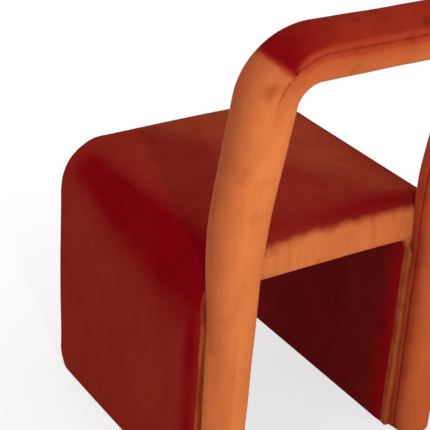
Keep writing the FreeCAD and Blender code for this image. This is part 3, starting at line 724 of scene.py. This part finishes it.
def sector(lengths, start_of, end_of, count, pile_and_shade_of, mitred):
    """A grid of cloth between two seams, with turned-in edges, and the numbers its velvet needs."""
    grid = []
    marks = {"open_pile": [], "seam_shade": [], "end_face": []}
    for length in lengths:
        radius = hoop_radius(length)
        start, end, rear = start_of(length), end_of(length), rear_seam(length)
        mitre_draw = MITRE_DEPTH * bell(from_mitre(length), SEAM_WIDTH) if mitred else 0.0
        row, noted = [], []
        for turn in sector_turns(start, end, radius, count):
            to_inner = min(abs(turn - INNER_SEAM), abs(turn - INNER_SEAM - 2 * math.pi)) * radius
            to_rear = min(abs(turn - rear), abs(turn - rear - 2 * math.pi)) * radius
            soft = UNEVEN * noise.noise(Vector((length * 14.0, turn * 1.3, 1.0)))
            draw = INNER_DEPTH * bell(to_inner, SEAM_WIDTH) + rear_depth(length) * bell(to_rear, SEAM_WIDTH)
            place = skewed(length, turn) if mitred else length
            row.append(hoop_point(place, turn, draw + mitre_draw - pucker(length, to_rear) - soft))
            noted.append((pile_and_shade_of(length, turn), seam_shade(length, to_rear, to_inner),
                          beside_seam(length, to_rear, to_inner, mitred)))
        first, last = hoop_point(length, start, TURNED_IN), hoop_point(length, end, TURNED_IN)
        grid.append([tuple(point) for point in (first, *row, last)])
        for numbers, column in zip(marks.values(), zip(noted[0], *noted, noted[-1])):
            numbers.append(column)
    return np.array(grid), {key: np.array(numbers) for key, numbers in marks.items()}


def with_hem(grid, kept, at_start):
    """Adds the rolled edge and the hem under a foot of the hoop."""
    edge = grid[0] if at_start else grid[-1]
    side = math.copysign(1.0, edge[:, 0].mean())
    middle = np.array((side * LEG_X, LEG_Y, 0.0))
    rows = []
    for share, height in FOOT_HEM:
        row = middle + (edge - middle) * share
        row[:, 2] = FOOT + height
        rows.append(row)
    hem = np.array(rows[::-1]) if at_start else np.array(rows)
    longer = {}
    for key, numbers in kept.items():
        added = np.repeat(numbers[:1] if at_start else numbers[-1:], len(rows), axis=0)
        longer[key] = np.concatenate((added, numbers) if at_start else (numbers, added))
    return np.concatenate((hem, grid) if at_start else (grid, hem)), longer


print("hem of", len(FOOT_HEM), "rows under each foot")

# %% Cut the hoop's four pieces of velvet


def full_turn(length):
    return INNER_SEAM + 2 * math.pi


def inner_seam(length):
    return INNER_SEAM


def tube_middle(point):
    """The nearest point of the hoop's line, by a coarse search."""
    return min(hoop_middles, key=lambda middle: (middle - point).length_squared)


hoop_middles = [hoop_station(length)[0] for length in np.linspace(0, 2 * HALF_LENGTH, 240)]
OTHER_MITRE = 2 * HALF_LENGTH - MITRE


def strip_nap_and_shade(length, turn):
    """The strip is redder on the top bar, most of all beside the seam, and on the far leg, where the redder
    colour is painted shade.
    """
    if length > HALF_LENGTH and from_mitre(length) < 0:
        return 0.9
    across = 0.35 + 0.65 * ramp(math.radians(-45), math.radians(20), turn)
    return across * ramp(-0.09, 0.02, from_mitre(length))


def leg_shade_and_nap(length, turn):
    """The legs are darker round their outer side, most of all high up, which is painted shade, and under
    the bend, where the pile opens.
    """
    up = ramp(0.15, 0.40, up_leg(length))
    begins, ends = math.radians(-60 + 60 * up), math.radians(40 + 75 * up)
    return max((0.42 + 0.53 * up) * ramp(begins, ends, turn), 0.5 * bell(from_mitre(length), 0.05))


def bar_open(length, turn):
    """The top bar is deep red at its two mitres."""
    return bell(from_mitre(length), 0.05)


STRIP_COLUMNS, PIECE_COLUMNS = 24, 44
strip = sector(hoop_lengths, inner_seam, rear_seam, STRIP_COLUMNS, strip_nap_and_shade, False)
strip = with_hem(*with_hem(*strip, True), False)
hoop_strip = cloth_piece("hoop_strip", strip[0], **strip[1])

leg_lengths = hoop_lengths[hoop_lengths <= MITRE + 1e-9]
bar_lengths = hoop_lengths[(hoop_lengths >= MITRE - 1e-9) & (hoop_lengths <= OTHER_MITRE + 1e-9)]
far_lengths = hoop_lengths[hoop_lengths >= OTHER_MITRE - 1e-9]
hoop_pieces = [hoop_strip]
for name, lengths, pile_and_shade_of, hem_at_start in (("left_leg_velvet", leg_lengths, leg_shade_and_nap, True),
                                             ("top_bar_velvet", bar_lengths, bar_open, None),
                                             ("right_leg_velvet", far_lengths, leg_shade_and_nap, False)):
    cloth = sector(lengths, rear_seam, full_turn, PIECE_COLUMNS, pile_and_shade_of, True)
    if hem_at_start is not None:
        cloth = with_hem(*cloth, hem_at_start)
    hoop_pieces.append(cloth_piece(name, cloth[0], **cloth[1]))
for piece in hoop_pieces:
    face_outward(piece, tube_middle)
    thicken(piece, SKIN)
    print(piece.name, len(piece.data.polygons), "faces")
hoop_strip, left_leg, top_bar, right_leg = hoop_pieces

# %% [markdown]
# ## Cloths under the panels
#
# Underneath, a thin black cloth closes each panel and hides the raw edges of the
# velvet. It is stapled flat, a little inside the rolled edge, and the glides are
# nailed through it. A flat grid with a slight sag between its edges is enough.

# %% Bottom cloths
cloth_low, cloth_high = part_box("left_bottom_cloth")
CLOTH_SIZE = (round(cloth_high.x - cloth_low.x, 4), round(cloth_high.y - cloth_low.y, 4))
CLOTH_X, CLOTH_Y = (cloth_low.x + cloth_high.x) / 2, (cloth_low.y + cloth_high.y) / 2
CLOTH_SKIN, SAG, RIPPLE = 0.0006, 0.0003, 0.0001
CLOTH_ROWS, CLOTH_COLUMNS = 12, 60


def bottom_cloth(name, centre_x):
    points = []
    for row in range(CLOTH_ROWS + 1):
        line = []
        for column in range(CLOTH_COLUMNS + 1):
            across, along = row / CLOTH_ROWS - 0.5, column / CLOTH_COLUMNS - 0.5
            edge = (1 - (2 * across) ** 4) * (1 - (2 * along) ** 8)
            ripple = RIPPLE * noise.noise(Vector((across * 3.0, along * 24.0, centre_x * 9.0)))
            line.append((centre_x + across * CLOTH_SIZE[0], CLOTH_Y + along * CLOTH_SIZE[1],
                         cloth_low.z + CLOTH_SKIN - (SAG + ripple) * edge))
        points.append(line)
    piece = cloth_piece(name, np.array(points))
    face_outward(piece, lambda point: point + Vector((0, 0, 1)))
    return thicken(piece, CLOTH_SKIN)


left_cloth = bottom_cloth("left_bottom_sheet", CLOTH_X)
right_cloth = bottom_cloth("right_bottom_sheet", -CLOTH_X)
print("bottom cloths", CLOTH_SIZE)

# %% [markdown]
# ## Velvet
#
# Velvet has no gloss of its own: each thread of the pile scatters light sideways.
# Looked at along the pile it is deep red, across the pile it is browner, and a piece
# cut with its nap towards the light is orange. A plain colour would be flat, so the
# material mixes these by place: deep red where the pile opens over a bend, with
# painted shade in it; orange on the end faces, partly painted light from the lamp
# behind; a lighter brown at the seat's far corner, which is painted light; a brighter
# red on the lining near the arch's opening, also painted light; painted shade round
# the legs' outer side; faint streaks where the nap has been stroked, shade in the
# seams, and a fine grain with bump. The far leg has a darker copy of the leg velvet,
# which is painted shade. Where each of them lies was written on the points when the
# cloth was cut, and an Attribute node reads it back.
# The sheen is the shader's own, with constant values.

# %% Helpers for materials


def linear(*levels):
    """A colour as the eye names it, 0 to 255, as the shader's linear numbers."""
    scaled = [level / 255 for level in levels]
    return [s / 12.92 if s <= 0.04045 else ((s + 0.055) / 1.055) ** 2.4 for s in scaled] + [1.0]


def new_material(name):
    material = bpy.data.materials.new(name)
    material.use_nodes = True
    tree = material.node_tree
    return material, tree, tree.nodes["Principled BSDF"]


def feed(tree, given, socket):
    """Links another node's output to a socket, or sets a plain value."""
    if isinstance(given, bpy.types.NodeSocket):
        tree.links.new(given, socket)
    else:
        socket.default_value = given


def add(tree, kind, **inputs):
    """Adds a node, and sets or links its inputs by name."""
    node = tree.nodes.new(kind)
    for name, given in inputs.items():
        feed(tree, given, node.inputs[name.replace("_", " ")])
    return node


def calculated(tree, operation, *terms):
    """The result of a Math node."""
    node = tree.nodes.new("ShaderNodeMath")
    node.operation = operation
    for term, socket in zip(terms, node.inputs):
        feed(tree, term, socket)
    return node.outputs[0]


def blend_colours(tree, factor, first, second, mode="MIX"):
    """Mixes two colours, each a colour or another node's output."""
    node = tree.nodes.new("ShaderNodeMix")
    node.data_type = "RGBA"
    node.blend_type = mode
    for given, socket in ((factor, node.inputs[0]), (first, node.inputs[6]), (second, node.inputs[7])):
        feed(tree, given, socket)
    return node.outputs[2]


def toned(tree, share, colour, tone):
    """A colour that is multiplied by a tone where the share is 1."""
    return blend_colours(tree, share, colour, blend_colours(tree, 1.0, colour, tone, "MULTIPLY"))


def kept_number(tree, name):
    """A number that was kept on the cloth's points."""
    node = tree.nodes.new("ShaderNodeAttribute")
    node.attribute_name = name
    return node.outputs["Fac"]


def ranged(tree, value, low, high, new_low, new_high):
    """A value moved smoothly from one range to another."""
    node = add(tree, "ShaderNodeMapRange", Value=value)
    node.interpolation_type = "SMOOTHSTEP"
    for name, number in (("From Min", low), ("From Max", high), ("To Min", new_low), ("To Max", new_high)):
        node.inputs[name].default_value = number
    return node.outputs["Result"]


def cloudy(tree, stretch, size, detail):
    """Noise over the object's coordinates, scaled apart so that it runs along one way."""
    coordinates = tree.nodes.new("ShaderNodeTexCoord")
    mapping = add(tree, "ShaderNodeMapping", Vector=coordinates.outputs["Object"], Scale=stretch)
    clouds = add(tree, "ShaderNodeTexNoise", Vector=mapping.outputs["Vector"], Scale=size, Detail=detail)
    return clouds.outputs["Fac"]


print("mid grey", round(linear(128)[0], 3))

# %% Velvet, layer by layer
NAP_SHADE = [0.62, 0.50, 0.50, 1]
SEAM_TONE = [0.34, 0.20, 0.20, 1]
GRAIN_SHADE = [0.86, 0.84, 0.84, 1]
PAINTED_LIGHT_BROWN = linear(165, 75, 45)
RED_TINT, ORANGE_TINT = (1.0, 0.3, 0.15), (1.0, 0.6, 0.4)
FAINT_STROKE, BLOCK_STROKE = (1.10, 1.13, 1.12), (1.08, 1.30, 1.18)


def velvet(name, pile, opened_lit_and_shaded, end_face=None, mottle=0.0, sheen=0.06, tint=RED_TINT, stroke=FAINT_STROKE):
    """Rust velvet: its colour on flat runs, over bends, and on the end faces, with painted light and shade
    mixed in.
    """
    material, tree, shader = new_material(name)
    patches = cloudy(tree, (1.0, 1.0, 0.5), 52.0, 6.0)
    # deep red where the pile opens, with painted shade on the block and the legs and painted light on the
    # lining's edge
    colour = blend_colours(tree, kept_number(tree, "open_pile"), pile, opened_lit_and_shaded)
    # orange on the end faces, partly nap and partly painted light; on the hoop, ruffled nap beside the
    # seams
    if end_face:
        ragged = calculated(tree, "MULTIPLY_ADD", patches, 0.6, kept_number(tree, "end_face"))
        on_end = ranged(tree, ragged, 0.55, 1.22, 0.0, 1.0)
        marked = ranged(tree, cloudy(tree, (30.0, 1.0, 5.0), 1.5, 3.0), 0.52, 0.75, 0.0, 0.35)
        colour = blend_colours(tree, on_end, colour, toned(tree, marked, end_face, NAP_SHADE))
    # painted light: a lighter brown at the seat's far corner
    colour = blend_colours(tree, kept_number(tree, "lit_far_corner"), colour, PAINTED_LIGHT_BROWN)
    stroked = ranged(tree, cloudy(tree, (9.0, 9.0, 5.0), 1.6, 4.0), 0.3, 0.7, 0.0, 1.0)
    colour = toned(tree, stroked, colour, [*stroke, 1])
    smudges = cloudy(tree, (1.0, 1.0, 0.7), 24.0, 5.0)
    combed = cloudy(tree, (230.0, 230.0, 12.0), 1.0, 2.0)
    mottles = ((patches, 0.45, 0.70, 0.6), (smudges, 0.56, 0.74, 1.6), (combed, 0.45, 0.70, 0.35))
    for pattern, low, high, most in mottles:
        colour = toned(tree, ranged(tree, pattern, low, high, 0.0, most * mottle), colour, NAP_SHADE)
    colour = toned(tree, kept_number(tree, "seam_shade"), colour, SEAM_TONE)
    grain = cloudy(tree, (1.0, 1.0, 0.6), 900.0, 2.0)
    colour = toned(tree, ranged(tree, grain, 0.25, 0.75, 1.0, 0.0), colour, GRAIN_SHADE)
    bump = add(tree, "ShaderNodeBump", Height=grain, Strength=0.25, Distance=0.0006)
    feed(tree, colour, shader.inputs["Base Color"])
    feed(tree, bump.outputs["Normal"], shader.inputs["Normal"])
    shader.inputs["Roughness"].default_value = 0.9
    shader.inputs["Specular IOR Level"].default_value = 0.01
    shader.inputs["Sheen Weight"].default_value = sheen
    shader.inputs["Sheen Roughness"].default_value = 0.28
    shader.inputs["Sheen Tint"].default_value = (*tint, 1.0)
    return material


print("tints of the sheen", RED_TINT, ORANGE_TINT)

# %% Velvet for each piece
# deep red of the opening pile, also the colour of painted shade; orange of the end faces, partly painted
# light
DEEP_RED = linear(118, 1, 11)
ORANGE = linear(203, 107, 60)
RUFFLED = linear(166, 60, 35)
block_velvet = velvet("velvet_block", linear(132, 33, 23), DEEP_RED, ORANGE,
                      mottle=0.27, sheen=0.03, stroke=BLOCK_STROKE)
# the lining's second colour, a brighter red, is painted light near the arch's rear opening
lining_velvet = velvet("velvet_lining", linear(118, 24, 24), linear(146, 9, 18),
                       mottle=0.3, sheen=0.03)
# the legs' second colour is painted shade round their outer side
leg_velvet = velvet("velvet_left_leg", linear(213, 120, 63), linear(167, 80, 47), RUFFLED,
                    mottle=0.28, sheen=0.16, tint=ORANGE_TINT)
# painted shade: the far leg gets a darker, redder copy of the leg velvet
far_leg_shaded_velvet = velvet("velvet_right_leg_shaded", linear(190, 92, 54), linear(172, 66, 42), RUFFLED,
                    mottle=0.3, sheen=0.12, tint=ORANGE_TINT)
strip_velvet = velvet("velvet_hoop_strip", linear(208, 117, 63), linear(179, 82, 45), RUFFLED,
                      mottle=0.2, sheen=0.08, tint=ORANGE_TINT)
bar_velvet = velvet("velvet_top_bar", linear(141, 40, 24), linear(122, 4, 13), RUFFLED,
                    mottle=0.5, sheen=0.03)
dressed = ((block_cover, block_velvet), (arch_lining, lining_velvet), (hoop_strip, strip_velvet),
           (left_leg, leg_velvet), (right_leg, far_leg_shaded_velvet), (top_bar, bar_velvet))
for piece, material in dressed:
    piece.data.materials.append(material)
print("velvet on", len(dressed), "pieces")

# %% [markdown]
# ## The finishes inside and underneath
#
# Timber, plywood, steel and plastic are hidden by the velvet, apart from the glides
# and plugs that show from below. They still get their own finish, because the part
# may be taken apart: grain along the timber, thin layers in the plywood, a drawn
# look on the tube, a cloudy zinc on the fixings, and a fine moulded skin on plastic.

# %% Materials of the frame


def finish(name, dark, light, stretch, size, roughness, metal=0.0, bump=0.1):
    """A procedural finish: two tones by stretched noise, with matching bump."""
    material, tree, shader = new_material(name)
    pattern = cloudy(tree, stretch, size, 5.0)
    share = ranged(tree, pattern, 0.3, 0.7, 0.0, 1.0)
    raised = add(tree, "ShaderNodeBump", Height=pattern, Strength=bump, Distance=0.0005)
    rough = ranged(tree, pattern, 0.2, 0.8, roughness - 0.08, roughness + 0.08)
    feed(tree, blend_colours(tree, share, dark, light), shader.inputs["Base Color"])
    feed(tree, raised.outputs["Normal"], shader.inputs["Normal"])
    feed(tree, rough, shader.inputs["Roughness"])
    shader.inputs["Metallic"].default_value = metal
    return material


frame_finishes = {
    "softwood": finish("planed_softwood", linear(186, 142, 92), linear(222, 184, 132),
                       stretch=(60, 4, 60), size=3.0, roughness=0.62),
    "plywood": finish("sanded_plywood", linear(190, 152, 106), linear(226, 196, 150),
                      stretch=(90, 5, 220), size=3.0, roughness=0.6),
    "steel_tube": finish("drawn_steel", linear(118, 120, 124), linear(150, 152, 156),
                         stretch=(200, 200, 8), size=3.0, roughness=0.36, metal=1.0),
    "zinc_fixings": finish("zinc_plate", linear(176, 180, 186), linear(208, 210, 214),
                           stretch=(40, 40, 40), size=6.0, roughness=0.34, metal=1.0),
    "black_plastic": finish("moulded_plastic", linear(26, 26, 28), linear(40, 40, 42),
                            stretch=(1, 1, 1), size=700.0, roughness=0.55),
    "foam": finish("open_cell_foam", linear(206, 190, 140), linear(236, 224, 182),
                   stretch=(1, 1, 1), size=420.0, roughness=0.9, bump=0.4),
    "bottom_cloth": finish("non_woven_cloth", linear(22, 22, 24), linear(44, 44, 46),
                           stretch=(1, 1, 1), size=500.0, roughness=0.85, bump=0.3),
    "velvet": block_velvet,
}
for entry in frame["record"]["subparts"]:
    for place in frame["nodes"][entry["node"]].material_slots:
        place.material = frame_finishes[entry["material_slot"]]
for piece in (left_cloth, right_cloth):
    piece.data.materials.append(frame_finishes["bottom_cloth"])
print("finishes", sorted(frame_finishes))

# %% [markdown]
# ## Joining the pieces to the frame
#
# Each velvet piece stands for the CAD cover of the same name and for the foam that
# it hides, and rides on the chair's one body.

# %% Ride and replace
stands_for = (
    (block_cover, ("block_cover", "seat_foam", "left_bend_foam", "right_bend_foam",
                   "left_side_foam", "right_side_foam")),
    (arch_lining, ("arch_lining", "under_seat_wadding")),
    (hoop_strip, ("hoop_strip_cover",)),
    (left_leg, ("left_leg_cover", "left_leg_foam")),
    (top_bar, ("top_bar_cover", "top_bar_foam")),
    (right_leg, ("right_leg_cover", "right_leg_foam")),
)
for piece, nodes in stands_for:
    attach(piece, "root")
    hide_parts(*nodes)
for piece, node in ((left_cloth, "left_bottom_cloth"), (right_cloth, "right_bottom_cloth")):
    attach(piece, "root")
    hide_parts(node)
print("joined", len(stands_for) + 2, "pieces")

# %% [markdown]
# ## Studio
#
# The photograph has a white floor that runs into a white wall, with only a faint
# shadow. The floor is one sheet. Light Path shows it and the world white to the rays
# that see the background, while the floor keeps some of the shadow near the chair.
# Four lamps light the velvet. A large soft one stands behind the chair, on the right
# of the picture, so the rear faces are brightest and the panel on the left of the
# picture is in its own shade. A small lamp behind throws the near leg's shadow on the
# seat, a wide one hangs overhead, and a weak one lifts the shaded panel. A picture of
# a studio as the world would light it too, but single lamps can be set one by one.

# %% Floor and world


def background_rays(tree):
    """1 for the rays that show the background: straight from the camera, off metal, or through glass."""
    rays = tree.nodes.new("ShaderNodeLightPath").outputs
    shown = calculated(tree, "MAXIMUM", rays["Is Camera Ray"], rays["Is Glossy Ray"])
    return calculated(tree, "MAXIMUM", shown, rays["Is Transmission Ray"])


FLOOR_REACH, AMBIENT = 12.0, 0.55
SHADOW_FROM, SHADOW_TO, LEAST_WHITE = 0.10, 1.2, 0.66


def white_floor():
    """A sheet that shows white, a little less so near the chair, where it takes the shadow."""
    mesh = bpy.data.meshes.new("studio_floor")
    low, high = -FLOOR_REACH, FLOOR_REACH
    corners = [(low, low, 0), (high, low, 0), (high, high, 0), (low, high, 0)]
    mesh.from_pydata(corners, [], [(0, 1, 2, 3)])
    floor = bpy.data.objects.new("studio_floor", mesh)
    scene.collection.objects.link(floor)
    material = bpy.data.materials.new("studio_white")
    material.use_nodes = True
    tree = material.node_tree
    tree.nodes.clear()
    matte = add(tree, "ShaderNodeBsdfDiffuse", Color=(0.9, 0.9, 0.9, 1))
    glow = add(tree, "ShaderNodeEmission", Color=(1, 1, 1, 1), Strength=1.0)
    place = tree.nodes.new("ShaderNodeTexCoord")
    away = tree.nodes.new("ShaderNodeVectorMath")
    away.operation = "LENGTH"
    feed(tree, place.outputs["Object"], away.inputs[0])
    white = ranged(tree, away.outputs["Value"], SHADOW_FROM, SHADOW_TO, LEAST_WHITE, 1.0)
    both = add(tree, "ShaderNodeMixShader", Fac=calculated(tree, "MULTIPLY", background_rays(tree), white))
    feed(tree, matte.outputs[0], both.inputs[1])
    feed(tree, glow.outputs[0], both.inputs[2])
    feed(tree, both.outputs[0], add(tree, "ShaderNodeOutputMaterial").inputs["Surface"])
    mesh.materials.append(material)
    return floor


white_floor()
world = bpy.data.worlds.new("studio")
scene.world = world
world.use_nodes = True
backdrop = world.node_tree.nodes["Background"]
level = ranged(world.node_tree, background_rays(world.node_tree), 0.0, 1.0, AMBIENT, 1.0)
feed(world.node_tree, level, backdrop.inputs["Strength"])
backdrop.inputs["Color"].default_value = (1, 1, 1, 1)
print("white floor and world, ambient", AMBIENT)

# %% Lamps


def soft_lamp(name, at, aim, size, power):
    data = bpy.data.lights.new(name, "AREA")
    data.shape = "SQUARE"
    data.size = size
    data.energy = power
    lamp = bpy.data.objects.new(name, data)
    scene.collection.objects.link(lamp)
    lamp.location = at
    lamp.rotation_euler = (Vector(aim) - Vector(at)).to_track_quat("-Z", "Y").to_euler()
    return lamp


# name, place, aim, size in metres, power in watts
soft_lamp("key", (-1.5, 2.5, 1.15), (0, 0.05, 0.4), 1.3, 11)
soft_lamp("rear", (0.95, 2.6, 1.6), (0.05, 0.05, 0.42), 0.05, 34)
soft_lamp("top", (0.2, -0.6, 2.8), (0, 0, 0.3), 2.2, 20)
soft_lamp("side", (2.6, -0.5, 1.0), (0, -0.05, 0.25), 1.8, 7)
print("four lamps")
